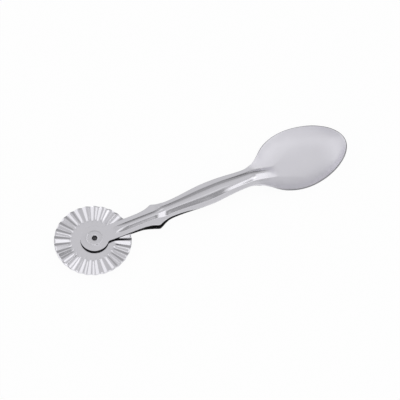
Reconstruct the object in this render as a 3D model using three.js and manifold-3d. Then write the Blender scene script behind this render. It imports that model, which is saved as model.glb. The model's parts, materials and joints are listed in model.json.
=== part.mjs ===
// Pastry crimper: a fluted wheel in a sheet-steel fork, a hollow pressed handle and a spoon bowl.
// Millimetres, +Z up. The tool lies flat: X runs from the wheel to the spoon tip, Z = 0 is the table.
import * as THREE from 'three';
import { mergeVertices } from 'three/addons/utils/BufferGeometryUtils.js';
import Module from 'manifold-3d';

// Sheet and fits
const SHEET = 0.8;
const SEAM = 0.2;
const END_PLAY = 0.12;
const BORE_PLAY = 0.1;
const TABLE_CLEARANCE = 0.25;
const UNDER_INSET = 0.55;

// Wheel; its play is how far it lies off the axle, away from the handle, on its loose bore
const WHEEL_RADIUS = 21.5;
const WHEEL_SHEET = 0.6;
const WHEEL_FLAT_RADIUS = 11.6;
const WHEEL_PLAY = 1.1;
const FLUTE_COUNT = 28;
const FLUTE_RISE = 0.45;
const FLUTE_RUN_IN = 1.8;
const FLUTE_CLEARANCE = 0.35;

// Axle
const RIVET_RADIUS = 2.2;
const RIVET_WALL = 0.5;
const RIVET_REACH = 1.4;
const RIVET_FOOT = 0.7;
const RIVET_CURL = 0.4;
const BUSH_WALL = 0.6;
const WASHER_WIDTH = 1.3;

// Fork eyes and arms
const BOSS_RISE = 0.4;
const BOSS_SLOPE = 0.8;
const EYE_FLANGE = 2.6;
const EYE_TO_RIB = 1.6;
const ARM_HALF = 4.75;
const UNDER_ARM_HALF = 3.8;
const FORK_CLOSE_LENGTH = 6;

// Plan of the handle and the spoon: stretches along X and half widths
const RIM_TO_NODE = 15.9;
const NODE_HALF = 7.0;
const NODE_TAPER = 10;
const NODE_TO_WAIST = 9;
const WAIST_HALF = 5.0;
const WAIST_TO_GRIP = 23.5;
const GRIP_HALF = 6.9;
const GRIP_TO_CREST = 11;
const GRIP_TO_NECK = 22.4;
const NECK_HALF = 5.5;
const NECK_TO_FLARE = 7;
const FLARE_HALF = 7.25;
const FLARE_TO_SHOULDER = 5.1;
const BOWL_HALF = 18.7;
const BOWL_REAR = 23.2;
const BOWL_FRONT = 29.2;
const UNDER_END_LENGTH = 6;

// Rib pressed along both handle halves
const ARM_RIB_HALF = 2.3;
const ARM_RIB_RISE = 0.6;
const GRIP_RIB_HALF = 4.3;
const NECK_RIB_HALF = 3.3;
const RIB_RUN_IN = 10;
const STEP_DELAY = 1.2;
const RIB_STEP = 5;
const NECK_TO_RIB_END = 19.2;
const RIB_FADE = 5;

// Heights along the upper sheet
const HANDLE_LIFT = 1.55;
const TIP_LIFT = 1.2;
const NECK_TO_ENTRY = 2.8;
const BOWL_ENTRY = 18;
const BOWL_FLOOR = 18;

// Shares that shape the curves
const ARM_LAP_SHARE = 0.85;
const ARM_START_SHARE = 0.97;
const NODE_SWELL_AT = 0.6;
const NODE_SWELL = 0.3;
const NODE_FALL_AT = 0.4;
const NODE_FALL = 0.65;
const NODE_RIB_SHARE = 0.45;
const RIB_STEEPNESS = 0.28;
const UNDER_SWELL_AT = 0.3;
const BAND_LIMIT = 0.6;
const STEP_LIFT_SHARE = 0.2;
const GRIP_LIFT_SHARE = 0.75;
const SHOULDER_SHARE = 0.82;
const BOWL_POINT = 1.85;
const BOWL_FLAT_SHARE = 0.1;
const BOWL_CURVE = 3.5;

// Facets
const STRIP_STEP = 1.8;
const RIB_CELLS = 6;
const FLANGE_CELLS = 4;
const BLUNT_HALF = 1.3;
const RING_SIDES = 48;
const FLUTE_SIDES = 6;
const SLOPE_NUDGE = 0.02;
const MERGE_DISTANCE = 1e-4;

// Radii through the axle
const EYE_BORE = RIVET_RADIUS + BORE_PLAY;
const BUSH_BORE = RIVET_RADIUS + BORE_PLAY;
const BUSH_RADIUS = BUSH_BORE + BUSH_WALL;
const WHEEL_BORE = BUSH_RADIUS + WHEEL_PLAY + BORE_PLAY;
const WASHER_BORE = BUSH_RADIUS + BORE_PLAY;
const WASHER_RADIUS = WASHER_BORE + WASHER_WIDTH;
const BOSS_HOLLOW = WASHER_RADIUS + 2 * BORE_PLAY;
const BOSS_RADIUS = BOSS_HOLLOW + BOSS_SLOPE;
const EYE_RADIUS = BOSS_RADIUS + EYE_FLANGE;
const RIVET_FOOT_RADIUS = RIVET_RADIUS + RIVET_REACH;

// Levels through the axle, from the table up
const LOWER_EYE_TOP = RIVET_FOOT + BOSS_RISE + SHEET;
const FORK_GAP = 2 * (FLUTE_RISE + FLUTE_CLEARANCE) + WHEEL_SHEET;
const WASHER = (FORK_GAP - WHEEL_SHEET) / 2 + BOSS_RISE - 2 * END_PLAY;
const WHEEL_MIDDLE = LOWER_EYE_TOP + FORK_GAP / 2;
const UPPER_EYE_TOP = LOWER_EYE_TOP + FORK_GAP + SHEET;
const UNDER_ARM_RISE = RIVET_FOOT + BOSS_RISE - TABLE_CLEARANCE;
const NECK_TOP = UPPER_EYE_TOP + HANDLE_LIFT;
const TIP_TOP = NECK_TOP + TIP_LIFT;

// Stations along X from the axle
const ARM_START = EYE_RADIUS - ARM_LAP_SHARE * EYE_FLANGE;
const RIB_START = EYE_RADIUS + EYE_TO_RIB;
const RIM_AT = WHEEL_RADIUS - WHEEL_PLAY;
const NODE_AT = RIM_AT + RIM_TO_NODE;
const STEP_AT = NODE_AT + STEP_DELAY;
const WAIST_AT = NODE_AT + NODE_TO_WAIST;
const GRIP_AT = WAIST_AT + WAIST_TO_GRIP;
const CREST_AT = GRIP_AT + GRIP_TO_CREST;
const NECK_AT = GRIP_AT + GRIP_TO_NECK;
const FLARE_AT = NECK_AT + NECK_TO_FLARE;
const SHOULDER_AT = FLARE_AT + FLARE_TO_SHOULDER;
const BOWL_AT = SHOULDER_AT + SHOULDER_SHARE * BOWL_REAR;
const TIP_AT = BOWL_AT + BOWL_FRONT;
const UNDER_END_AT = FLARE_AT + UNDER_END_LENGTH;
const ENTRY_AT = NECK_AT + NECK_TO_ENTRY;
const FLOOR_AT = ENTRY_AT + BOWL_ENTRY;
const FLOOR_END_AT = FLOOR_AT + BOWL_FLOOR;
const RIB_END_AT = NECK_AT + NECK_TO_RIB_END;

const { clamp, lerp, smoothstep } = THREE.MathUtils;

const wasm = await Module();
wasm.setup();

// Curve through points of rising x that never overshoots between two of them
function through(points) {
  const rises = points.slice(1).map((point, i) => (point[1] - points[i][1]) / (point[0] - points[i][0]));
  const slopes = points.map((point, i) => {
    const left = rises[Math.max(i - 1, 0)];
    const right = rises[Math.min(i, rises.length - 1)];
    return left * right <= 0 ? 0 : (2 * left * right) / (left + right);
  });
  return (x) => {
    const past = points.filter((point) => point[0] <= x).length;
    const i = clamp(past - 1, 0, points.length - 2);
    const span = points[i + 1][0] - points[i][0];
    const t = clamp((x - points[i][0]) / span, 0, 1);
    const base = lerp(points[i][1], points[i + 1][1], t * t * (3 - 2 * t));
    const leaving = t * (1 - t) * (1 - t) * slopes[i] * span;
    const arriving = t * t * (1 - t) * slopes[i + 1] * span;
    return base + leaving - arriving;
  };
}

// Egg-shaped bowl seen from above: an ellipse behind its widest place, a slimmer curve to the tip
function bowlHalf(x) {
  const ahead = x > BOWL_AT;
  const share = Math.min(Math.abs(x - BOWL_AT) / (ahead ? BOWL_FRONT : BOWL_REAR), 1);
  const power = ahead ? BOWL_POINT : 2;
  return BOWL_HALF * (1 - share ** power) ** (1 / power);
}

const ARM_ROOT_HALF = ARM_START_SHARE * Math.sqrt(EYE_RADIUS ** 2 - ARM_START ** 2);

const armHalf = through([
  [ARM_START, ARM_ROOT_HALF],
  [RIB_START, ARM_HALF],
  [NODE_AT - NODE_TAPER, ARM_HALF],
  [NODE_AT - (1 - NODE_SWELL_AT) * NODE_TAPER, lerp(ARM_HALF, NODE_HALF, NODE_SWELL)],
  [NODE_AT, NODE_HALF],
]);

// The lower arm is slimmer than the upper one and swells sooner toward the node
const underArmHalf = through([
  [ARM_START, ARM_ROOT_HALF],
  [RIB_START + ARM_RIB_HALF, UNDER_ARM_HALF],
  [NODE_AT - NODE_TAPER, UNDER_ARM_HALF],
  [NODE_AT - UNDER_SWELL_AT * NODE_TAPER, armHalf(NODE_AT - UNDER_SWELL_AT * NODE_TAPER)],
  [NODE_AT, NODE_HALF],
]);

const handleHalf = through([
  [NODE_AT, NODE_HALF],
  [NODE_AT + NODE_FALL_AT * NODE_TO_WAIST, lerp(NODE_HALF, WAIST_HALF, NODE_FALL)],
  [WAIST_AT, WAIST_HALF],
  [GRIP_AT, GRIP_HALF],
  [NECK_AT, NECK_HALF],
  [FLARE_AT, FLARE_HALF],
  [SHOULDER_AT, bowlHalf(SHOULDER_AT)],
]);

function halfWidth(x) {
  if (x < NODE_AT) return armHalf(x);
  if (x < SHOULDER_AT) return handleHalf(x);
  return bowlHalf(x);
}

const NODE_RIB_HALF = lerp(ARM_RIB_HALF, GRIP_RIB_HALF, NODE_RIB_SHARE);

const ribHalf = through([
  [STEP_AT, ARM_RIB_HALF],
  [STEP_AT + RIB_STEP, NODE_RIB_HALF],
  [WAIST_AT, NODE_RIB_HALF],
  [GRIP_AT, GRIP_RIB_HALF],
  [NECK_AT, NECK_RIB_HALF],
  [RIB_END_AT, NECK_RIB_HALF],
]);

// Half width of the middle band of facets: the rib where there is one, then a share of the bowl
function bandHalf(x, half) {
  const inBowl = (RIB_CELLS / 2) * BOWL_FLAT_SHARE * half;
  const band = lerp(ribHalf(x), inBowl, smoothstep(x, RIB_END_AT, FLOOR_END_AT));
  return Math.min(band, BAND_LIMIT * half);
}

// Height of the rib along its crest: low on the arm, then a step past the node up to its full rise
function ribRise(x, armRise, stepLength) {
  const arm = armRise * smoothstep(x, RIB_START, RIB_START + RIB_RUN_IN);
  const full = RIB_STEEPNESS * ribHalf(x);
  const rise = lerp(arm, full, smoothstep(x, STEP_AT, STEP_AT + stepLength));
  return rise * (1 - smoothstep(x, RIB_END_AT - RIB_FADE, RIB_END_AT));
}

// Share of the rib's rise across it: a low round arch
function ribSection(x, y, half) {
  const share = Math.min(Math.abs(y) / bandHalf(x, half), 1);
  return 1 - share * share;
}

// Height of the upper sheet's edge from the eye to the spoon tip
const edgeTop = through([
  [ARM_START, UPPER_EYE_TOP],
  [NODE_AT, UPPER_EYE_TOP],
  [NODE_AT + RIB_STEP, lerp(UPPER_EYE_TOP, NECK_TOP, STEP_LIFT_SHARE)],
  [GRIP_AT, lerp(UPPER_EYE_TOP, NECK_TOP, GRIP_LIFT_SHARE)],
  [CREST_AT, NECK_TOP],
  [BOWL_AT, NECK_TOP],
  [TIP_AT, TIP_TOP],
]);

// Height along the middle: level with the edge on the handle, down to the bowl floor, up to the tip
function middleTop(x) {
  const entry = lerp(edgeTop(x), SHEET, smoothstep(x, ENTRY_AT, FLOOR_AT));
  const climb = Math.max(x - FLOOR_END_AT, 0) / (TIP_AT - FLOOR_END_AT);
  return lerp(entry, TIP_TOP, Math.min(climb ** BOWL_CURVE, 1));
}

// Top of the upper sheet without its rib
function spoonTop(x, y) {
  const share = Math.min(Math.abs(y) / halfWidth(x), 1);
  const wall = Math.max(share - BOWL_FLAT_SHARE, 0) / (1 - BOWL_FLAT_SHARE);
  return lerp(middleTop(x), edgeTop(x), wall ** BOWL_CURVE);
}

// Space between the two sheets: the wheel's fork, closing past the node to a welded seam
function sheetGap(x) {
  return lerp(FORK_GAP, SEAM, smoothstep(x, NODE_AT, NODE_AT + FORK_CLOSE_LENGTH));
}

function normalOf(surface, x, y) {
  const alongX = surface(x + SLOPE_NUDGE, y) - surface(x - SLOPE_NUDGE, y);
  const alongY = surface(x, y + SLOPE_NUDGE) - surface(x, y - SLOPE_NUDGE);
  return new THREE.Vector3(-alongX, -alongY, 2 * SLOPE_NUDGE).normalize();
}

// Stations along a strip, even at first and then closer together into a rounded end
function stripStations(roundFrom, end, roundHalf) {
  const straight = Math.ceil((roundFrom - ARM_START) / STRIP_STEP);
  const round = Math.ceil((end - roundFrom) / STRIP_STEP);
  const lastTurn = Math.acos(BLUNT_HALF / roundHalf);
  const stations = [];
  for (let i = 0; i < straight; i += 1) {
    stations.push(lerp(ARM_START, roundFrom, i / straight));
  }
  for (let i = 0; i <= round; i += 1) {
    stations.push(lerp(roundFrom, end, Math.sin((lastTurn * i) / round)));
  }
  return stations;
}

// Place across a strip for a column of cells: even in the middle band, even in the flanges
function acrossPlace(column, x, half) {
  const steps = column - FLANGE_CELLS - RIB_CELLS / 2;
  const count = Math.abs(steps);
  const band = bandHalf(x, half);
  const inner = Math.min(count / (RIB_CELLS / 2), 1);
  const outer = Math.max(count - RIB_CELLS / 2, 0) / FLANGE_CELLS;
  return Math.sign(steps) * (inner * band + outer * (half - band));
}

// A pressed strip: a box of cells laid on a surface, one sheet thick below it
function pressedStrip(stations, half, surface) {
  const rows = stations.length - 1;
  const columns = 2 * FLANGE_CELLS + RIB_CELLS;
  const box = new THREE.BoxGeometry(rows, columns, 1, rows, columns, 1);
  const position = box.getAttribute('position');
  for (let i = 0; i < position.count; i += 1) {
    const x = stations[Math.round(position.getX(i) + rows / 2)];
    const y = acrossPlace(Math.round(position.getY(i) + columns / 2), x, half(x));
    const place = new THREE.Vector3(x, y, surface(x, y));
    if (position.getZ(i) < 0) place.addScaledVector(normalOf(surface, x, y), -SHEET);
    position.setXYZ(i, place.x, place.y, place.z);
  }
  return box;
}

function toSolid(geometry) {
  const bare = geometry.clone();
  bare.deleteAttribute('normal');
  bare.deleteAttribute('uv');
  const merged = mergeVertices(bare, MERGE_DISTANCE);
  const vertProperties = new Float32Array(merged.getAttribute('position').array);
  const triVerts = new Uint32Array(merged.getIndex().array);
  return new wasm.Manifold(new wasm.Mesh({ numProp: 3, vertProperties, triVerts }));
}

function toGeometry(solid) {
  const mesh = solid.getMesh();
  const geometry = new THREE.BufferGeometry();
  geometry.setAttribute('position', new THREE.BufferAttribute(new Float32Array(mesh.vertProperties), 3));
  geometry.setIndex(new THREE.BufferAttribute(new Uint32Array(mesh.triVerts), 1));
  geometry.computeVertexNormals();
  return geometry;
}

// A ring turned about the axle from corners of radius and height, listed round the section
function turnedRing(corners, sides) {
  const outline = [...corners, corners[0]].map(([radius, height]) => new THREE.Vector2(radius, height));
  const ring = new THREE.LatheGeometry(outline, sides);
  ring.rotateX(Math.PI / 2);
  return ring;
}

// Fork eye: a flat ring whose middle is pressed out as a boss; side is 1 for up and -1 for down
function forkEye(outerFace, side) {
  const innerFace = outerFace - side * SHEET;
  const spread = SHEET * Math.tan(Math.atan2(BOSS_RISE, BOSS_SLOPE) / 2);
  const corners = [
    [EYE_BORE, innerFace + side * BOSS_RISE],
    [BOSS_HOLLOW, innerFace + side * BOSS_RISE],
    [BOSS_RADIUS, innerFace],
    [EYE_RADIUS, innerFace],
    [EYE_RADIUS, outerFace],
    [BOSS_RADIUS + spread, outerFace],
    [BOSS_HOLLOW + spread, outerFace + side * BOSS_RISE],
    [EYE_BORE, outerFace + side * BOSS_RISE],
  ];
  return turnedRing(side > 0 ? corners : corners.reverse(), RING_SIDES);
}

// Upper stamping: bowl, neck, handle half, arm and eye
function spoonShell() {
  const surface = (x, y) => {
    return spoonTop(x, y) + ribRise(x, ARM_RIB_RISE, RIB_STEP) * ribSection(x, y, halfWidth(x));
  };
  const strip = pressedStrip(stripStations(BOWL_AT, TIP_AT, BOWL_HALF), halfWidth, surface);
  return toSolid(strip).add(toSolid(forkEye(UPPER_EYE_TOP, 1)));
}

function underHalf(x) {
  if (x < NODE_AT) return underArmHalf(x);
  const share = Math.max(x - FLARE_AT, 0) / UNDER_END_LENGTH;
  const inset = UNDER_INSET * smoothstep(x, WAIST_AT, GRIP_AT);
  return (halfWidth(Math.min(x, FLARE_AT)) - inset) * Math.sqrt(Math.max(1 - share * share, 0));
}

// Lower stamping: it follows the upper sheet one gap below, with its rib pressed downward
function underShell() {
  const surface = (x, y) => {
    const drop = (SHEET + sheetGap(x)) / normalOf(spoonTop, x, y).z;
    const ribLeft = 1 - smoothstep(x, NECK_AT, FLARE_AT);
    const rise = ribLeft * ribRise(x, UNDER_ARM_RISE, FORK_CLOSE_LENGTH);
    return spoonTop(x, y) - drop - rise * ribSection(x, y, underHalf(x));
  };
  const strip = pressedStrip(stripStations(FLARE_AT, UNDER_END_AT, FLARE_HALF), underHalf, surface);
  return toSolid(strip).add(toSolid(forkEye(LOWER_EYE_TOP - SHEET, -1)));
}

// Flutes: round waves that run in from the flat middle and deepen toward the rim
function fluteHeight(radius, angle) {
  const depth = smoothstep(radius, WHEEL_FLAT_RADIUS, WHEEL_FLAT_RADIUS + FLUTE_RUN_IN);
  return FLUTE_RISE * Math.cos(FLUTE_COUNT * angle) * depth * (radius / WHEEL_RADIUS);
}

function crimpingWheel() {
  const fluted = WHEEL_FLAT_RADIUS + FLUTE_RUN_IN;
  const radii = [WHEEL_BORE, WHEEL_FLAT_RADIUS, fluted, (fluted + WHEEL_RADIUS) / 2, WHEEL_RADIUS];
  const under = radii.map((radius) => [radius, -WHEEL_SHEET / 2]);
  const over = radii.map((radius) => [radius, WHEEL_SHEET / 2]).reverse();
  const disc = turnedRing([...under, ...over], FLUTE_COUNT * FLUTE_SIDES);
  const position = disc.getAttribute('position');
  for (let i = 0; i < position.count; i += 1) {
    const radius = Math.hypot(position.getX(i), position.getY(i));
    const angle = Math.atan2(position.getY(i), position.getX(i));
    position.setZ(i, position.getZ(i) + fluteHeight(radius, angle));
  }
  return toSolid(disc);
}

// Tubular rivet: a flat foot under the lower eye, a shank, and a rolled lip over the upper eye
function axleRivet() {
  const bore = RIVET_RADIUS - RIVET_WALL;
  const shoulder = RIVET_FOOT - END_PLAY;
  const lipUnder = UPPER_EYE_TOP + BOSS_RISE + END_PLAY;
  const lipTop = lipUnder + RIVET_CURL;
  const lipRadius = RIVET_FOOT_RADIUS - RIVET_WALL;
  const corners = [
    [bore, 0],
    [RIVET_FOOT_RADIUS, 0],
    [RIVET_FOOT_RADIUS, shoulder],
    [RIVET_RADIUS, shoulder],
    [RIVET_RADIUS, lipUnder],
    [lipRadius, lipUnder],
    [lipRadius + RIVET_WALL / 2, lipUnder + RIVET_CURL / 3],
    [lipRadius, lipUnder + (3 * RIVET_CURL) / 4],
    [RIVET_RADIUS + RIVET_WALL, lipTop],
    [RIVET_RADIUS, lipTop],
    [bore, lipTop - RIVET_CURL / 3],
  ];
  return toSolid(turnedRing(corners, RING_SIDES));
}

function plainRing(bore, radius, bottom, top) {
  const corners = [
    [bore, bottom],
    [radius, bottom],
    [radius, top],
    [bore, top],
  ];
  return toSolid(turnedRing(corners, RING_SIDES));
}

// Distance sleeve that keeps the eyes apart; the wheel hangs loose on it and the washers sit on it
function axleBush() {
  const bottom = RIVET_FOOT + SHEET + END_PLAY;
  const top = UPPER_EYE_TOP + BOSS_RISE - SHEET - END_PLAY;
  return plainRing(BUSH_BORE, BUSH_RADIUS, bottom, top);
}

function spacerWasher(bottom) {
  return plainRing(WASHER_BORE, WASHER_RADIUS, bottom, bottom + WASHER);
}

function piece(name, solid, color, roughness) {
  const material = new THREE.MeshStandardMaterial({ color, roughness, metalness: 1 });
  const mesh = new THREE.Mesh(toGeometry(solid), material);
  mesh.name = name;
  return mesh;
}

const wheel = piece('crimping_wheel', crimpingWheel(), 0xbfc0c4, 0.2);
wheel.position.set(-WHEEL_PLAY, 0, WHEEL_MIDDLE);

const tool = new THREE.Group();
tool.add(
  piece('spoon_shell', spoonShell(), 0xc4c4c8, 0.25),
  piece('under_shell', underShell(), 0xc0c0c4, 0.28),
  wheel,
  piece('axle_rivet', axleRivet(), 0xb4b4b8, 0.3),
  piece('axle_bush', axleBush(), 0xa8a8ac, 0.35),
  piece('upper_washer', spacerWasher(WHEEL_MIDDLE + WHEEL_SHEET / 2 + END_PLAY), 0xa4a4a8, 0.35),
  piece('lower_washer', spacerWasher(RIVET_FOOT + SHEET + END_PLAY), 0xa4a4a8, 0.35),
);

// The tool is centred along X
const extent = new THREE.Box3().setFromObject(tool);
tool.position.x = -(extent.min.x + extent.max.x) / 2;

const part = new THREE.Group();
part.add(tool);

export default part;
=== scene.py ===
import json
import math

import bmesh
import bpy
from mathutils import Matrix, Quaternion, Vector


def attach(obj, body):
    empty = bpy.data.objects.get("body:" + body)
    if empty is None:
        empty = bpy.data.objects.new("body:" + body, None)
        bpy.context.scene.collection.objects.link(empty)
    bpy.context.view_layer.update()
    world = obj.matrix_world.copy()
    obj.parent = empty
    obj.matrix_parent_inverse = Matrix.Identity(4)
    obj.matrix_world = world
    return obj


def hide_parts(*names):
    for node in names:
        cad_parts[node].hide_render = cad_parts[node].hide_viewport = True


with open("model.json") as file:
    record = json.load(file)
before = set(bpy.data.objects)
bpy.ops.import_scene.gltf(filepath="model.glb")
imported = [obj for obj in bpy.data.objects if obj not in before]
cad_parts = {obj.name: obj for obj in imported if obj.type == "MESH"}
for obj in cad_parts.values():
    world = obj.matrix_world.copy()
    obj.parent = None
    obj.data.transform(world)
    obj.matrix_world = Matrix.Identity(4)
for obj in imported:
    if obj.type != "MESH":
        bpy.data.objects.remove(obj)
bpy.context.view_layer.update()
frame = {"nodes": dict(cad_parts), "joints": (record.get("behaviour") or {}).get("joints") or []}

# Shape sizes are in millimetres, along the tool from the axle and up from the table
MM = 0.001
WHEEL_PLAY = 1.1
WHEEL_X, AXLE_Y, WHEEL_LEVEL = frame["joints"][0]["pos_m"]
AXLE_X = WHEEL_X + WHEEL_PLAY * MM

# Sheet and eyes, with the counts of their points
SHEET = 0.8
SEAM = 0.2
SHEET_EDGE_ROUND = 0.16
EYE_BORE = 2.3
EYE_RADIUS = 7.9
EYE_RIM_MARGIN = 0.1
BOSS_TOP_RADIUS = 4.6
BOSS_FOOT_RADIUS = 7.6
BOSS_RISE = 0.2
BOSS_INNER_SHARE = 0.8
BOSS_EDGE_RUN = 0.4
BOSS_EDGE_SHARE = 0.4
UPPER_EYE_TOP = 4.9
LOWER_EYE_TOP = 1.9
FORK_GAP = 2.2
EYE_SEGMENTS = 72
ARM_SEGMENTS = 7
BOWL_FRONT_ROWS = 9

# Stations along the tool
RIB_START = 9.5
ARM_PARALLEL_END = 26.3
NODE_AT = 36.3
FORK_CLOSE_LENGTH = 6.0
WAIST_AT = 45.3
GRIP_AT = 68.8
CREST_AT = 79.8
NECK_AT = 91.2
FLARE_AT = 98.2
SHOULDER_AT = 103.3
BOWL_AT = 122.324
BOWL_FRONT = 29.2
BOWL_REAR = 23.2
TIP_AT = BOWL_AT + BOWL_FRONT
UNDER_END_AT = 104.2
UNDER_END_TURNS = (20, 40, 58, 72, 82)
ENTRY_AT = 94.0
FLOOR_AT = 112.0
FLOOR_END_AT = 130.0
RIB_END_AT = 110.4

# Half widths, with the shares at which they swell and fall
ARM_HALF = 4.75
UNDER_ARM_HALF = 3.8
UNDER_ROOT_SHARE = 0.5
NODE_HALF = 7.0
NODE_SWELL_AT = 0.6
NODE_SWELL = 0.3
NODE_FALL_AT = 0.4
NODE_FALL = 0.65
UNDER_SWELL_AT = 0.7
WAIST_HALF = 5.0
GRIP_HALF = 6.9
NECK_HALF = 5.5
FLARE_HALF = 7.25
BOWL_HALF = 18.7
BOWL_POINT = 1.85
UNDER_INSET = 0.55
UNDER_NODE_EXTRA = 0.5
ARM_RIB_HALF = 2.3
NODE_RIB_HALF = 3.3
GRIP_RIB_HALF = 4.3
NECK_RIB_HALF = 3.3
RIB_LIMIT = 0.6

# Places of a row's points: shares of the rib, the foot beside it and a share of the flange
RIB_SHARES = (0, 0.27, 0.54, 0.79, 0.97)
RIB_FOOT = 0.2
FLANGE_SHARE = 0.6

# Heights, and the stretches over which they change
ARM_RIB_RISE = 0.8
UNDER_ARM_RISE = 0.85
RIB_STEEPNESS = 0.28
RIB_END_SWELL = 0.6
RIB_RUN_IN = 10.0
STEP_AT = 36.3
RIB_STEP = 7.0
RIB_FADE = 5.0
STEP_TOP = 5.52
GRIP_TOP = 6.06
CREST_TOP = 6.8
NECK_TOP = 6.2
RIM_TOP = 6.45
TIP_TOP = 7.65
EDGE_DROOP = 0.15
DROOP_POWER = 4
BOWL_FLAT_SHARE = 0.1
BOWL_CURVE = 3.5
SLOPE_NUDGE = 0.02
LEAST_HALF = 1e-6

# Wheel
WHEEL_RADIUS = 21.5
WHEEL_BORE = 4.1
WHEEL_SHEET = 0.6
WHEEL_EDGE_ROUND = 0.1
WHEEL_FLAT_RADIUS = 11.6
WHEEL_FLAT_RINGS = (0, 0.5, 0.9)
FLUTE_RUN_IN = 1.8
FLUTE_RUN_IN_RINGS = 3
FLUTE_RINGS = 4
FLUTE_COUNT = 28
FLUTE_STEPS = 8
FLUTE_RISE = 0.45

# Rivet
RIVET_BORE = 1.45
RIVET_RADIUS = 2.2
RIVET_BORE_FLOOR = 1.2
RIVET_FOOT_BORE = 0.8
RIVET_FOOT_BORE_TOP = 0.9
RIVET_FOOT_RADIUS = 3.6
RIVET_SHOULDER = 0.58
RIVET_EDGE_ROUND = 0.1
RIVET_SEGMENTS = 64
LIP_UNDER = 5.12

# Radius and level round the rivet's rolled lip, from under its edge, over it and into the tube
LIP_OUTLINE = [
    (4.5, LIP_UNDER),
    (4.6, 5.17),
    (4.3, 5.29),
    (3.9, 5.32),
    (2.3, 5.34),
    (1.7, 5.3),
    (1.51, 5.14),
    (RIVET_BORE, 4.74),
]

# Tolerances in metres, and the angles past which an edge is rounded or kept sharp
MERGE_DISTANCE = 1e-6
SAME_SPOT = 1e-9
NEAR_SPOT = 1e-7
ON_RING = 1e-5
ROUNDED_PAST = math.radians(50)
SHARP_PAST = math.radians(60)

# Camera, as read from the photograph
CAMERA_AZIMUTH = math.radians(23.91)
CAMERA_ELEVATION = math.radians(61.27)
IMAGE_SIDE = 400
AIM_PIXEL = (201.81, 197.3)
AIM_LEVEL = 4.0
PIXELS_PER_MM = 1.8052
CAMERA_DISTANCE = 3.0
CAMERA_REACH = 20
SENSOR_WIDTH = 36


def lerp(start, end, share):
    return start + (end - start) * share


def smoothstep(x, start, end):
    share = min(max((x - start) / (end - start), 0), 1)
    return share * share * (3 - 2 * share)


def place(x, y, z):
    """A point given in millimetres from the axle and the table, in the frame's metres."""
    return Vector((AXLE_X + x * MM, AXLE_Y + y * MM, z * MM))


def through(points):
    """Curve through points of rising x that never overshoots between two of them."""
    rises = [(b[1] - a[1]) / (b[0] - a[0]) for a, b in zip(points, points[1:])]
    slopes = []
    for index in range(len(points)):
        left = rises[max(index - 1, 0)]
        right = rises[min(index, len(rises) - 1)]
        slopes.append(0 if left * right <= 0 else 2 * left * right / (left + right))

    def curve(x):
        past = sum(1 for point in points if point[0] <= x)
        index = min(max(past - 1, 0), len(points) - 2)
        span = points[index + 1][0] - points[index][0]
        t = min(max((x - points[index][0]) / span, 0), 1)
        base = lerp(points[index][1], points[index + 1][1], t * t * (3 - 2 * t))
        leaving = t * (1 - t) ** 2 * slopes[index] * span
        arriving = t * t * (1 - t) * slopes[index + 1] * span
        return base + leaving - arriving

    return curve


# Plan and heights of the pressed sheets

def bowl_half(x):
    """Half width of the bowl: round toward the handle, more pointed toward the tip."""
    share = min(abs(x - BOWL_AT) / (BOWL_FRONT if x > BOWL_AT else BOWL_REAR), 1)
    power = BOWL_POINT if x > BOWL_AT else 2
    return BOWL_HALF * (1 - share ** power) ** (1 / power)


arm_half = through([
    (RIB_START, ARM_HALF),
    (ARM_PARALLEL_END, ARM_HALF),
    (lerp(ARM_PARALLEL_END, NODE_AT, NODE_SWELL_AT), lerp(ARM_HALF, NODE_HALF, NODE_SWELL)),
    (NODE_AT, NODE_HALF),
])

under_swell = lerp(ARM_PARALLEL_END, NODE_AT, UNDER_SWELL_AT)
under_arm_half = through([
    (RIB_START, lerp(UNDER_ARM_HALF, ARM_HALF, UNDER_ROOT_SHARE)),
    (RIB_START + ARM_RIB_HALF, UNDER_ARM_HALF),
    (ARM_PARALLEL_END, UNDER_ARM_HALF + UNDER_NODE_EXTRA),
    (under_swell, arm_half(under_swell) + UNDER_NODE_EXTRA),
    (NODE_AT, NODE_HALF + UNDER_NODE_EXTRA),
])

handle_half = through([
    (NODE_AT, NODE_HALF),
    (lerp(NODE_AT, WAIST_AT, NODE_FALL_AT), lerp(NODE_HALF, WAIST_HALF, NODE_FALL)),
    (WAIST_AT, WAIST_HALF),
    (GRIP_AT, GRIP_HALF),
    (NECK_AT, NECK_HALF),
    (FLARE_AT, FLARE_HALF),
    (SHOULDER_AT, bowl_half(SHOULDER_AT)),
])

rib_half = through([
    (STEP_AT, ARM_RIB_HALF),
    (STEP_AT + RIB_STEP, NODE_RIB_HALF),
    (WAIST_AT, NODE_RIB_HALF),
    (GRIP_AT, GRIP_RIB_HALF),
    (NECK_AT, NECK_RIB_HALF),
    (RIB_END_AT, NECK_RIB_HALF),
])

edge_top = through([
    (RIB_START, UPPER_EYE_TOP),
    (STEP_AT, UPPER_EYE_TOP),
    (STEP_AT + RIB_STEP, STEP_TOP),
    (GRIP_AT, GRIP_TOP),
    (CREST_AT, CREST_TOP),
    (FLARE_AT, NECK_TOP),
    (BOWL_AT, RIM_TOP),
    (TIP_AT, TIP_TOP),
])


def half_width(x):
    if x < NODE_AT:
        return arm_half(x)
    if x < SHOULDER_AT:
        return handle_half(x)
    return bowl_half(x)


def under_half(x):
    """Half width of the lower sheet: wider at the node, inside the upper one past the grip."""
    if x < NODE_AT:
        return under_arm_half(x)
    share = max(x - FLARE_AT, 0) / (UNDER_END_AT - FLARE_AT)
    inset = lerp(-UNDER_NODE_EXTRA, UNDER_INSET, smoothstep(x, NODE_AT, GRIP_AT))
    return (half_width(min(x, FLARE_AT)) - inset) * math.sqrt(max(1 - share * share, 0))


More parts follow.
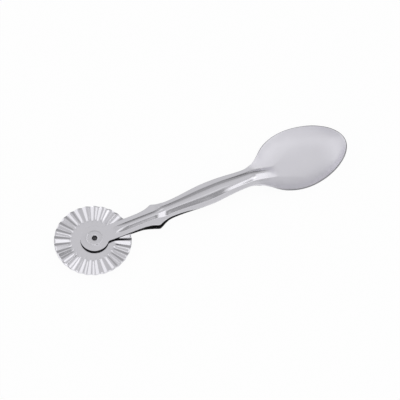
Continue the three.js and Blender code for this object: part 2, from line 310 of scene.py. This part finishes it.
def middle_top(x):
    """Height along the middle: level with the handle's edge, down to the bowl, up to the tip."""
    entry = lerp(edge_top(x), SHEET, smoothstep(x, ENTRY_AT, FLOOR_AT))
    climb = max(x - FLOOR_END_AT, 0) / (TIP_AT - FLOOR_END_AT)
    return lerp(entry, TIP_TOP, min(climb ** BOWL_CURVE, 1))


def spoon_top(x, y):
    """Top of the upper sheet without its rib. Its flanges droop a little toward their edges."""
    share = min(abs(y) / max(half_width(x), LEAST_HALF), 1)
    wall = max(share - BOWL_FLAT_SHARE, 0) / (1 - BOWL_FLAT_SHARE)
    droop = EDGE_DROOP * smoothstep(x, RIB_START, RIB_START + RIB_RUN_IN)
    droop *= 1 - smoothstep(x, NECK_AT, FLARE_AT)
    return lerp(middle_top(x), edge_top(x), wall ** BOWL_CURVE) - droop * share ** DROOP_POWER


def rib_rise(x, arm_rise, step_length):
    """Height of the rib along its crest: low on the arm, a step past the node, a high end."""
    arm = arm_rise * smoothstep(x, RIB_START, RIB_START + RIB_RUN_IN)
    swell = 1 + RIB_END_SWELL * smoothstep(x, CREST_AT, FLARE_AT + RIB_FADE)
    full = RIB_STEEPNESS * rib_half(x) * swell
    rise = lerp(arm, full, smoothstep(x, STEP_AT, STEP_AT + step_length))
    return rise * (1 - smoothstep(x, RIB_END_AT - RIB_FADE, RIB_END_AT))


def rib_section(x, y, half):
    """Share of the rib's rise across it: a low round arch."""
    share = min(abs(y) / min(rib_half(x), RIB_LIMIT * half), 1)
    return 1 - share * share


def upper_surface(x, y):
    """Top of the upper sheet, with its rib."""
    rise = rib_rise(x, ARM_RIB_RISE, RIB_STEP)
    return spoon_top(x, y) + (rise * rib_section(x, y, half_width(x)) if rise else 0)


def slope_stretch(x, y):
    """How much longer a vertical step is than the same step square to the sheet."""
    reach = 2 * SLOPE_NUDGE
    along = (spoon_top(x + SLOPE_NUDGE, y) - spoon_top(x - SLOPE_NUDGE, y)) / reach
    across = (spoon_top(x, y + SLOPE_NUDGE) - spoon_top(x, y - SLOPE_NUDGE)) / reach
    return math.sqrt(1 + along * along + across * across)


def under_surface(x, y):
    """Top of the lower sheet: under the upper one, with a rib that bulges down."""
    gap = lerp(FORK_GAP, SEAM, smoothstep(x, NODE_AT, NODE_AT + FORK_CLOSE_LENGTH))
    rise = rib_rise(x, UNDER_ARM_RISE, FORK_CLOSE_LENGTH) * (1 - smoothstep(x, NECK_AT, FLARE_AT))
    rib = rise * rib_section(x, y, under_half(x)) if rise else 0
    return spoon_top(x, y) - (SHEET + gap) * slope_stretch(x, y) - rib


# Modelling by hand: one object at a time in edit mode

def ring_of_points(name, segments, radius, centre):
    """Adds a circle as the start of a piece and opens it for editing at its place."""
    bpy.ops.object.select_all(action="DESELECT")
    bpy.ops.mesh.primitive_circle_add(vertices=segments, radius=radius * MM, location=centre)
    piece = bpy.context.object
    piece.name = name
    piece.data.name = name
    bpy.ops.object.transform_apply(location=True, rotation=True, scale=True)
    bpy.ops.object.mode_set(mode="EDIT")
    bpy.ops.mesh.select_all(action="SELECT")
    return piece


def pick(piece, wanted):
    """Selects the points that wanted accepts, with the edges and faces between them."""
    mesh = bmesh.from_edit_mesh(piece.data)
    for point in mesh.verts:
        point.select = bool(wanted(point.co))
    mesh.select_flush_mode()
    bmesh.update_edit_mesh(piece.data, loop_triangles=False)


def picked(piece):
    return [point for point in bmesh.from_edit_mesh(piece.data).verts if point.select]


def ring_out(ratio, lift, centre):
    """Extrudes the selected ring, scales it about the centre and lifts it."""
    bpy.ops.mesh.extrude_region_move()
    bpy.ops.transform.resize(value=(ratio, ratio, 1), center_override=centre)
    bpy.ops.transform.translate(value=(0, 0, lift))


def turn_up(section, centre):
    """Pulls the selected ring through the radii and levels of a turned section."""
    for (radius, level), (next_radius, next_level) in zip(section, section[1:]):
        ring_out(next_radius / radius, (next_level - level) * MM, centre)


def single_out(piece, spot):
    """Selects the newest point at a place."""
    mesh = bmesh.from_edit_mesh(piece.data)
    mesh.verts.ensure_lookup_table()
    found = [point for point in mesh.verts if (point.co - spot).length < SAME_SPOT]
    for point in mesh.verts:
        point.select = False
    found[-1].select = True
    mesh.select_flush_mode()


def next_row(piece, targets):
    """Extrudes the selected row and carries each new point, from the middle out, to its place."""
    bpy.ops.mesh.extrude_region_move()
    row = sorted((point.co.y, point.index, point.co.copy()) for point in picked(piece))
    spots = [co for _, _, co in row]
    for spot, target in zip(spots, targets):
        single_out(piece, spot)
        bpy.ops.transform.translate(value=target - spot)
    pick(piece, lambda co: any((co - target).length < NEAR_SPOT for target in targets))


def finish_modifier(piece, kind, **settings):
    """Adds a modifier with its settings and applies it."""
    modifier = piece.modifiers.new(kind.title(), kind)
    for name, value in settings.items():
        setattr(modifier, name, value)
    bpy.ops.object.modifier_apply(modifier=modifier.name)


def close_seams():
    """Merges doubles and turns every face the same way."""
    bpy.ops.mesh.select_all(action="SELECT")
    bpy.ops.mesh.remove_doubles(threshold=MERGE_DISTANCE)
    bpy.ops.mesh.normals_make_consistent(inside=False)


def face_up(piece):
    """Closes the seams of an open sheet and turns its faces upward."""
    close_seams()
    mesh = bmesh.from_edit_mesh(piece.data)
    if sum(face.normal.z * face.calc_area() for face in mesh.faces) < 0:
        bpy.ops.mesh.flip_normals()


def sheet_thickness(piece, thickness, offset, smooth_levels, edge_round):
    """Smooths the cage, gives the sheet its thickness and rounds its sheared edges."""
    finish_modifier(
        piece, "SUBSURF", levels=smooth_levels, render_levels=smooth_levels
    )
    finish_modifier(
        piece, "SOLIDIFY", thickness=thickness * MM, offset=offset, use_even_offset=True
    )
    finish_modifier(
        piece, "BEVEL", width=edge_round * MM, segments=2, limit_method="ANGLE",
        angle_limit=ROUNDED_PAST, use_clamp_overlap=True
    )
    bpy.ops.object.shade_smooth_by_angle(angle=SHARP_PAST)


def across(x, half):
    """Places of a row's points from the middle out: rib first, then flange, even in the bowl."""
    rib = min(rib_half(x), RIB_LIMIT * half)
    on_rib = [share * rib for share in RIB_SHARES]
    on_handle = [*on_rib, rib + RIB_FOOT, lerp(rib, half, FLANGE_SHARE), half]
    in_bowl = [half * step / ARM_SEGMENTS for step in range(ARM_SEGMENTS + 1)]
    blend = smoothstep(x, RIB_END_AT - RIB_FADE, FLOOR_END_AT)
    return [lerp(a, b, blend) for a, b in zip(on_handle, in_bowl)]


def spaced(begin, end, count):
    """Even steps that leave out the beginning and reach the end."""
    return [lerp(begin, end, step / count) for step in range(1, count + 1)]


def straight_rows(stations, half_of, surface):
    rows = []
    for x in stations:
        rows.append([(x, y, surface(x, y)) for y in across(x, half_of(x))])
    return rows


def bowl_front_rows(count, surface):
    """Rows from the widest place to the tip that bend round, so that the last one is the rim."""
    rows = []
    for step in range(1, count + 1):
        u = step / count
        row = []
        for column in range(ARM_SEGMENTS + 1):
            v = column / ARM_SEGMENTS
            ahead = u * math.sqrt(1 - v * v / 2)
            aside = v * math.sqrt(1 - u * u / 2)
            reach = math.hypot(ahead, aside)
            turn = math.atan2(aside, ahead)
            spread = math.cos(turn) ** BOWL_POINT + math.sin(turn) ** BOWL_POINT
            egg = spread ** (-1 / BOWL_POINT)
            x = BOWL_AT + BOWL_FRONT * reach * egg * math.cos(turn)
            y = BOWL_HALF * reach * egg * math.sin(turn)
            row.append((x, y, surface(x, y)))
        rows.append(row)
    return rows


def pressed_sheet(name, flange_level, boss_level, rows):
    """An eye with its boss, then an arm, handle and end pulled out of its rim row by row.

    One half is modelled, mirrored across the tool's middle and given its thickness.
    """
    centre = place(0, 0, boss_level)
    piece = ring_of_points(name, EYE_SEGMENTS, EYE_BORE, centre)
    pick(piece, lambda co: co.y < AXLE_Y - MERGE_DISTANCE)
    bpy.ops.mesh.delete(type="VERT")
    bpy.ops.mesh.select_all(action="SELECT")
    turn_up([
        (EYE_BORE, boss_level),
        (lerp(EYE_BORE, BOSS_TOP_RADIUS, BOSS_INNER_SHARE), boss_level),
        (BOSS_TOP_RADIUS, boss_level),
        (BOSS_TOP_RADIUS + BOSS_EDGE_RUN, lerp(boss_level, flange_level, BOSS_EDGE_SHARE)),
        (BOSS_FOOT_RADIUS, flange_level),
        (EYE_RADIUS, flange_level),
    ], centre)
    arm_angle = 2 * math.pi * (ARM_SEGMENTS + 0.5) / EYE_SEGMENTS
    rim = (EYE_RADIUS - EYE_RIM_MARGIN) * MM
    pick(piece, lambda co: math.hypot(co.x - AXLE_X, co.y) > rim
         and math.atan2(co.y, co.x - AXLE_X) < arm_angle)
    for row in rows:
        next_row(piece, [place(*spot) for spot in row])
    face_up(piece)
    bpy.ops.object.mode_set(mode="OBJECT")
    finish_modifier(
        piece, "MIRROR", use_axis=(False, True, False), use_clip=True,
        merge_threshold=MERGE_DISTANCE
    )
    bpy.ops.object.mode_set(mode="EDIT")
    face_up(piece)
    bpy.ops.object.mode_set(mode="OBJECT")
    sheet_thickness(piece, SHEET, offset=-1, smooth_levels=2, edge_round=SHEET_EDGE_ROUND)
    return piece


HANDLE_STATIONS = [
    RIB_START,
    *spaced(RIB_START, ARM_PARALLEL_END, 7),
    *spaced(ARM_PARALLEL_END, NODE_AT, 8),
    *spaced(NODE_AT, STEP_AT + RIB_STEP, 7),
    *spaced(STEP_AT + RIB_STEP, WAIST_AT, 2),
    *spaced(WAIST_AT, GRIP_AT, 7),
    *spaced(GRIP_AT, NECK_AT, 7),
    *spaced(NECK_AT, FLARE_AT, 4),
]


def make_spoon():
    stations = [
        *HANDLE_STATIONS,
        *spaced(FLARE_AT, SHOULDER_AT, 3),
        *spaced(SHOULDER_AT, RIB_END_AT, 5),
        *spaced(RIB_END_AT, BOWL_AT, 4),
    ]
    rows = straight_rows(stations, half_width, upper_surface)
    rows += bowl_front_rows(BOWL_FRONT_ROWS, upper_surface)
    return pressed_sheet("spoon_and_handle", UPPER_EYE_TOP, UPPER_EYE_TOP + BOSS_RISE, rows)


def make_under_half():
    end = UNDER_END_AT - FLARE_AT
    round_end = [FLARE_AT + end * math.sin(math.radians(turn)) for turn in UNDER_END_TURNS]
    rows = straight_rows([*HANDLE_STATIONS, *round_end], under_half, under_surface)
    return pressed_sheet("handle_under_half", LOWER_EYE_TOP, LOWER_EYE_TOP - BOSS_RISE, rows)


def flute_wave(turn):
    """A rounded zigzag from 1 at the crest to -1 in the trough."""
    return (math.cos(turn) + math.cos(3 * turn) / 9) / (1 + 1 / 9)


def on_flute_line(radius, step):
    """Accepts the points of one ring that lie at the same step of every flute."""

    def wanted(co):
        from_middle = math.hypot(co.x - WHEEL_X, co.y)
        turn = math.atan2(co.y, co.x - WHEEL_X) * FLUTE_COUNT * FLUTE_STEPS / (2 * math.pi)
        on_ring = abs(from_middle - radius * MM) < ON_RING
        return on_ring and round(turn - step) % FLUTE_STEPS == 0

    return wanted


def make_wheel():
    centre = Vector((WHEEL_X, AXLE_Y, WHEEL_LEVEL))
    piece = ring_of_points("fluted_wheel", FLUTE_COUNT * FLUTE_STEPS, WHEEL_BORE, centre)
    fluted = WHEEL_FLAT_RADIUS + FLUTE_RUN_IN
    radii = [
        *[lerp(WHEEL_BORE, WHEEL_FLAT_RADIUS, share) for share in WHEEL_FLAT_RINGS],
        *spaced(WHEEL_FLAT_RADIUS, fluted, FLUTE_RUN_IN_RINGS),
        *spaced(fluted, WHEEL_RADIUS, FLUTE_RINGS),
    ]
    turn_up([(radius, 0) for radius in radii], centre)
    for radius in radii:
        depth = smoothstep(radius, WHEEL_FLAT_RADIUS, fluted) * radius / WHEEL_RADIUS
        if depth == 0:
            continue
        for step in range(FLUTE_STEPS):
            pick(piece, on_flute_line(radius, step))
            wave = flute_wave(2 * math.pi * step / FLUTE_STEPS)
            bpy.ops.transform.translate(value=(0, 0, FLUTE_RISE * depth * wave * MM))
    face_up(piece)
    bpy.ops.object.mode_set(mode="OBJECT")
    sheet_thickness(piece, WHEEL_SHEET, offset=0, smooth_levels=1, edge_round=WHEEL_EDGE_ROUND)
    return piece


def make_rivet():
    centre = place(0, 0, 0)
    piece = ring_of_points("rolled_rivet", RIVET_SEGMENTS, RIVET_FOOT_BORE, centre)
    turn_up([
        (RIVET_FOOT_BORE, 0),
        (RIVET_FOOT_RADIUS, 0),
        (RIVET_FOOT_RADIUS, RIVET_SHOULDER),
        (RIVET_RADIUS, RIVET_SHOULDER),
        (RIVET_RADIUS, LIP_UNDER),
        *LIP_OUTLINE,
        (RIVET_BORE, RIVET_BORE_FLOOR),
        (RIVET_FOOT_BORE, RIVET_FOOT_BORE_TOP),
        (RIVET_FOOT_BORE, 0),
    ], centre)
    close_seams()
    bpy.ops.object.mode_set(mode="OBJECT")
    finish_modifier(
        piece, "BEVEL", width=RIVET_EDGE_ROUND * MM, segments=3, limit_method="ANGLE",
        angle_limit=ROUNDED_PAST
    )
    bpy.ops.object.shade_smooth_by_angle(angle=SHARP_PAST)
    return piece


# Finishes

SHEET_TONE = (0.74, 0.731, 0.772)
RIVET_TONE = (0.7, 0.693, 0.73)
INNER_TONE = (0.6, 0.6, 0.62)
UPPER_ROUGHNESS = 0.16
UNDER_ROUGHNESS = 0.25
WHEEL_ROUGHNESS = 0.15
RIVET_ROUGHNESS = 0.28
INNER_ROUGHNESS = 0.3

# Scales of the pattern per metre: polishing lines along the shells, and even ones elsewhere
SHELL_GRAIN = (60, 900, 900)
WHEEL_GRAIN = (500, 500, 500)
RIVET_GRAIN = (700, 700, 700)
INNER_GRAIN = (400, 400, 2500)
GRAIN_DEPTH = 0.00001
WHEEL_GRAIN_DEPTH = 0.000008
LINE_DETAIL = 4.0
LINE_SHARE = 0.25
CLOUD_SCALE = 90.0
CLOUD_DETAIL = 3.0
WAVE_SCALE = 220.0
WAVE_DETAIL = 1.0

# How far the clouds change the tone, and lines and clouds the roughness
CLOUD_TINT = 0.06
LINE_ROUGHNESS = 0.06
CLOUD_ROUGHNESS = 0.02

# Satin bowl, and painted shade that darkens the steel in the fork, on the lower half, at the
# bowl's rim and in the rivet's tube
BOWL_HAZE = 0.4
HAZE_LIFT = 0.2
PAINTED_SHADE_DARKNESS = 0.94
PAINTED_SHADE_ROUGHNESS = 0.25

# Where the painted shade begins and is full: by how far a face looks up or out, or by radius
UPPER_INSIDE = (0.35, -0.05)
SEAM_CLOSED = (WAIST_AT + 7, WAIST_AT + 15)
SEAM_LEAN = 0.45
RIM_OUTWARD = (0.15, 0.45)
RIM_UPWARD = (-0.35, -0.05)
RIM_SHARE = 0.6
UNDER_INSIDE = (-0.5, -0.2)
BORE_MOUTH = ((RIVET_BORE + 0.25) * MM, (RIVET_BORE + 0.05) * MM)
BORE_SHARE = 0.72

# Ground and room
WHITE = (1, 1, 1, 1)
FLOOR_TONE = (0.9, 0.9, 0.9, 1)
FLOOR_GLOW = 0.95


class Reading:
    """A socket's value in a finish. Arithmetic on it adds Math nodes."""

    def __init__(self, finish, socket):
        self.finish = finish
        self.socket = socket

    def _math(self, operation, first, second):
        node = self.finish.node("ShaderNodeMath", {"operation": operation}, {0: first, 1: second})
        return Reading(self.finish, node.outputs[0])

    def __add__(self, other):
        return self._math("ADD", self, other)

    def __radd__(self, other):
        return self._math("ADD", other, self)

    def __sub__(self, other):
        return self._math("SUBTRACT", self, other)

    def __rsub__(self, other):
        return self._math("SUBTRACT", other, self)

    def __mul__(self, other):
        return self._math("MULTIPLY", self, other)

    def __rmul__(self, other):
        return self._math("MULTIPLY", other, self)


class Finish:
    """One procedural material and its node tree."""

    def __init__(self, name):
        self.material = bpy.data.materials.new(name)
        self.material.use_nodes = True
        self.tree = self.material.node_tree
        self.tree.nodes.clear()

    def node(self, kind, settings=None, sockets=None):
        made = self.tree.nodes.new(kind)
        for name, value in (settings or {}).items():
            setattr(made, name, value)
        for name, value in (sockets or {}).items():
            if isinstance(value, Reading):
                self.tree.links.new(value.socket, made.inputs[name])
            else:
                made.inputs[name].default_value = value
        return made

    def read(self, node, output=0):
        return Reading(self, node.outputs[output])

    def noise(self, where, scale, detail):
        sockets = {"Vector": where, "Scale": scale, "Detail": detail}
        return self.read(self.node("ShaderNodeTexNoise", None, sockets), "Fac")

    def ramp(self, value, low, high):
        """Rises smoothly from 0 at low to 1 at high."""
        return self.read(self.node(
            "ShaderNodeMapRange", {"interpolation_type": "SMOOTHSTEP"},
            {"Value": value, "From Min": low, "From Max": high}), "Result")

    def part(self, vector, axis):
        return self.read(self.node("ShaderNodeSeparateXYZ", None, {0: vector}), axis)

    def vector(self, operation, *values, output="Vector"):
        return self.read(self.node(
            "ShaderNodeVectorMath", {"operation": operation}, dict(enumerate(values))), output)

    def length(self, vector):
        return self.vector("LENGTH", vector, output="Value")

    def level_offset(self, where, station):
        """The way, in plan, to a spot from a station on the tool's middle line."""
        offset = self.vector("SUBTRACT", where, place(station, 0, 0))
        return self.vector("MULTIPLY", offset, (1, 1, 0))

    def along(self, where, begin, end):
        """Rises smoothly from 0 to 1 between two stations along the tool."""
        return self.ramp(self.part(where, "X"), place(begin, 0, 0).x, place(end, 0, 0).x)

    def close(self, shader):
        output = self.node("ShaderNodeOutputMaterial")
        self.tree.links.new(shader.outputs[0], output.inputs["Surface"])
        return self.material


def bowl_and_shoulders(finish, where):
    """1 in the bowl and on the shoulders beside the rib's end, 0 on the handle."""
    aside = finish.length(finish.vector("MULTIPLY", finish.level_offset(where, 0), (0, 1, 0)))
    off_rib = finish.ramp(aside, NECK_RIB_HALF * MM, NECK_HALF * MM)
    shoulder = finish.along(where, NECK_AT, FLARE_AT) * off_rib
    inside = finish.along(where, FLARE_AT, FLOOR_AT)
    return shoulder + (1 - shoulder) * inside


def steel(name, tone, roughness, grain_scale, grain_depth=GRAIN_DEPTH, bowl_haze=0, dark=None):
    """Bright sheet steel: soft cloudiness, fine polishing lines and a slightly uneven pressing.

    The bowl can be more satin than the handle, and dark gives, from the spot and the way that it
    faces, where shade is painted into the colour as darker and rougher steel.
    """
    finish = Finish(name)
    coordinates = finish.node("ShaderNodeTexCoord")
    where = finish.read(coordinates, "Object")
    stretched = finish.read(
        finish.node("ShaderNodeMapping", None, {"Vector": where, "Scale": grain_scale}), "Vector"
    )
    lines = finish.noise(stretched, 1.0, LINE_DETAIL)
    clouds = finish.noise(where, CLOUD_SCALE, CLOUD_DETAIL)
    waves = finish.noise(where, WAVE_SCALE, WAVE_DETAIL)
    level = 1 - CLOUD_TINT / 2 + CLOUD_TINT * clouds
    smoothest = roughness - (LINE_ROUGHNESS + CLOUD_ROUGHNESS) / 2
    rough = smoothest + LINE_ROUGHNESS * lines + CLOUD_ROUGHNESS * clouds
    if bowl_haze:
        satin = bowl_and_shoulders(finish, where)
        level = level + HAZE_LIFT * bowl_haze * satin
        rough = rough + bowl_haze * satin
    # Painted shade: the base colour is darkened, and made rougher, where the mask is high
    if dark:
        painted_shade = dark(finish, where, finish.read(coordinates, "Normal"))
        level = level * (1 - PAINTED_SHADE_DARKNESS * painted_shade)
        rough = rough + PAINTED_SHADE_ROUGHNESS * painted_shade
    colour = finish.read(finish.node(
        "ShaderNodeVectorMath", {"operation": "SCALE"}, {0: tone, "Scale": level}))
    uneven = finish.read(finish.node(
        "ShaderNodeBump", None,
        {"Strength": 1.0, "Distance": grain_depth, "Height": lines * LINE_SHARE + waves},
    ), "Normal")
    shader = finish.node("ShaderNodeBsdfPrincipled", None, {
        "Base Color": colour,
        "Metallic": 1.0,
        "Roughness": rough,
        "Normal": uneven,
    })
    return finish.close(shader)


def painted_shade_upper(finish, where, normal):
    """Painted shade on the inner side of the upper half and the sheared edges of its fork; at the
    bowl's rim, partly the dull sheared edge and partly painted shade.
    """
    facing_up = finish.part(normal, "Z")
    bowl = finish.along(where, FLARE_AT, FLOOR_AT)
    lean = facing_up + SEAM_LEAN * finish.along(where, *SEAM_CLOSED)
    inside = finish.ramp(lean, *UPPER_INSIDE)
    outward = finish.vector("NORMALIZE", finish.level_offset(where, BOWL_AT))
    facing_out = finish.vector("DOT_PRODUCT", outward, normal, output="Value")
    rim = finish.ramp(facing_out, *RIM_OUTWARD) * finish.ramp(facing_up, *RIM_UPWARD)
    return inside * (1 - bowl) + RIM_SHARE * rim * bowl


def painted_shade_under(finish, where, normal):
    """Painted shade on the inner side of the lower half and on its sheared edges, in the upper
    half's shadow.
    """
    return finish.ramp(finish.part(normal, "Z"), *UNDER_INSIDE)


def painted_bore_shade(finish, where, normal):
    """Painted shade inside the rivet's tube, a little less dark than that painted on the sheets.
    """
    return BORE_SHARE * finish.ramp(finish.length(finish.level_offset(where, 0)), *BORE_MOUTH)


def pale_floor():
    """Near-white floor for the eye and for reflections, which still takes the tool's shadow."""
    finish = Finish("pale_floor")
    light = finish.node("ShaderNodeLightPath")
    by_eye = finish.read(light, "Is Camera Ray")
    in_shine = finish.read(light, "Is Glossy Ray")
    through_glass = finish.read(light, "Is Transmission Ray")
    seen = by_eye + in_shine + through_glass
    plain = finish.node("ShaderNodeBsdfDiffuse", None, {"Color": FLOOR_TONE})
    glow = finish.node("ShaderNodeEmission", None, {"Color": WHITE, "Strength": 1.0})
    mix = finish.node("ShaderNodeMixShader", None, {0: seen * FLOOR_GLOW})
    finish.tree.links.new(plain.outputs[0], mix.inputs[1])
    finish.tree.links.new(glow.outputs[0], mix.inputs[2])
    return finish.close(mix)


def dull_card(name, tone):
    """One even grey, the same from every side."""
    finish = Finish(name)
    sockets = {"Color": (tone, tone, tone, 1), "Strength": 1.0}
    return finish.close(finish.node("ShaderNodeEmission", None, sockets))


# Stage, lights and camera, in metres and degrees

FAR = Vector((math.sin(CAMERA_AZIMUTH), math.cos(CAMERA_AZIMUTH), 0))
RIGHT = Vector((math.cos(CAMERA_AZIMUTH), -math.sin(CAMERA_AZIMUTH), 0))
UP = Vector((0, 0, 1))
FLOOR_SIDE = 8
FLOOR_LEVEL = -0.0002
ROOM_LIGHT = 0.66
SOFTBOX_DISTANCE = 0.9
CARD_DISTANCE = 0.8

# Turn to the right of the camera's side, elevation, width, height, radiance and lean
SOFTBOXES = {
    "left_softbox": (-106, 41, 1.1, 0.58, 0.46, 0),
    "left_back_softbox": (-142, 23, 0.24, 0.2, 0.6, 0),
    "front_softbox": (-28.8, 78.6, 0.2, 0.75, 0.6, -46),
    "top_softbox": (160, 81, 0.26, 0.26, 0.2, 0),
    "far_top_softbox": (180, 61, 0.36, 0.32, 0.07, 0),
    "near_softbox": (8, 28, 1.0, 0.75, 0.2, 0),
    "upper_right_softbox": (75, 59, 0.32, 0.36, 0.6, 0),
    "right_softbox": (97, 36, 1.0, 0.6, 0.48, 0),
}

# The same for the cards, with a tone in place of the radiance
CARDS = {
    "near_card": (40.4, 74.3, 0.11, 0.48, 0.3, 20),
    "far_card": (-177, 4, 0.78, 0.23, 0.15, 0),
    "far_upper_card": (-177, 24, 0.78, 0.33, 0.42, 0),
}


def toward(turn, elevation, distance):
    """A place round the tool: turn is in degrees to the right of the camera's side."""
    side = RIGHT * math.sin(math.radians(turn)) - FAR * math.cos(math.radians(turn))
    lift = math.radians(elevation)
    return (side * math.cos(lift) + UP * math.sin(lift)) * distance


def aim_at_tool(holder, spot, lean):
    """Puts a lamp or card at a spot, facing the tool, and leans it by lean degrees."""
    holder.location = spot
    holder.rotation_mode = "QUATERNION"
    turned = (-spot).to_track_quat("-Z", "Y")
    holder.rotation_quaternion = turned @ Quaternion(UP, -math.radians(lean))


def softbox(name, turn, elevation, width, height, radiance, lean):
    """A broad lamp round the tool that the camera itself doesn't see."""
    lamp = bpy.data.lights.new(name, "AREA")
    lamp.shape = "RECTANGLE"
    lamp.size = width
    lamp.size_y = height
    lamp.energy = radiance * math.pi * width * height
    holder = bpy.data.objects.new(name, lamp)
    aim_at_tool(holder, toward(turn, elevation, SOFTBOX_DISTANCE), lean)
    holder.visible_camera = False
    bpy.context.scene.collection.objects.link(holder)


def card(name, turn, elevation, width, height, tone, lean):
    """A plain card beside the tool that only shows in its shine."""
    bpy.ops.object.select_all(action="DESELECT")
    bpy.ops.mesh.primitive_plane_add(size=1)
    board = bpy.context.object
    board.name = name
    board.scale = (width, height, 1)
    aim_at_tool(board, toward(turn, elevation, CARD_DISTANCE), lean)
    board.data.materials.append(dull_card(name, tone))
    board.visible_camera = False
    board.visible_diffuse = False
    board.visible_shadow = False


def make_stage():
    bpy.ops.object.select_all(action="DESELECT")
    bpy.ops.mesh.primitive_plane_add(size=FLOOR_SIDE, location=(0, 0, FLOOR_LEVEL))
    floor = bpy.context.object
    floor.name = "floor"
    floor.data.materials.append(pale_floor())
    for name, settings in SOFTBOXES.items():
        softbox(name, *settings)
    for name, settings in CARDS.items():
        card(name, *settings)


def make_world():
    world = bpy.data.worlds.new("white_room")
    world.use_nodes = True
    background = world.node_tree.nodes["Background"]
    background.inputs["Color"].default_value = WHITE
    background.inputs["Strength"].default_value = ROOM_LIGHT
    bpy.context.scene.world = world


def make_camera():
    lens = bpy.data.cameras.new("camera")
    holder = bpy.data.objects.new("camera", lens)
    forward = (FAR * math.cos(CAMERA_ELEVATION) - UP * math.sin(CAMERA_ELEVATION)).normalized()
    frame_side = IMAGE_SIDE / PIXELS_PER_MM * MM
    lens.sensor_width = SENSOR_WIDTH
    lens.lens = lens.sensor_width * CAMERA_DISTANCE / frame_side
    aim = Vector((0, 0, AIM_LEVEL * MM))
    holder.location = aim - forward * CAMERA_DISTANCE
    holder.rotation_mode = "QUATERNION"
    holder.rotation_quaternion = forward.to_track_quat("-Z", "Y")
    lens.shift_x = (IMAGE_SIDE / 2 - AIM_PIXEL[0]) / IMAGE_SIDE
    lens.shift_y = (AIM_PIXEL[1] - IMAGE_SIDE / 2) / IMAGE_SIDE
    lens.clip_end = CAMERA_REACH
    bpy.context.scene.collection.objects.link(holder)
    bpy.context.scene.camera = holder


def coat(piece, material):
    """Gives a piece one finish in place of what it has."""
    piece.data.materials.clear()
    piece.data.materials.append(material)


def dress(piece, material, body, node):
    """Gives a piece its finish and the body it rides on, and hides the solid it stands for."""
    coat(piece, material)
    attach(piece, body)
    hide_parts(node)


bpy.context.scene.view_settings.view_transform = "Standard"
make_camera()
make_world()
make_stage()

# The shells and the rivet get painted shade: darker steel in the fork, on the lower half, at the
# bowl's rim and in the rivet's tube
upper_steel = steel(
    "upper_steel", SHEET_TONE, UPPER_ROUGHNESS, SHELL_GRAIN,
    bowl_haze=BOWL_HAZE, dark=painted_shade_upper
)
under_steel = steel(
    "under_steel", SHEET_TONE, UNDER_ROUGHNESS, SHELL_GRAIN, dark=painted_shade_under
)
wheel_steel = steel(
    "wheel_steel", SHEET_TONE, WHEEL_ROUGHNESS, WHEEL_GRAIN, grain_depth=WHEEL_GRAIN_DEPTH
)
rivet_steel = steel("rivet_steel", RIVET_TONE, RIVET_ROUGHNESS, RIVET_GRAIN, dark=painted_bore_shade)
inner_steel = steel("inner_steel", INNER_TONE, INNER_ROUGHNESS, INNER_GRAIN)

dress(make_spoon(), upper_steel, "handle", "spoon_shell")
dress(make_under_half(), under_steel, "handle", "under_shell")
dress(make_wheel(), wheel_steel, "wheel", "crimping_wheel")
dress(make_rivet(), rivet_steel, "handle", "axle_rivet")
for node in ("axle_bush", "upper_washer", "lower_washer"):
    coat(frame["nodes"][node], inner_steel)
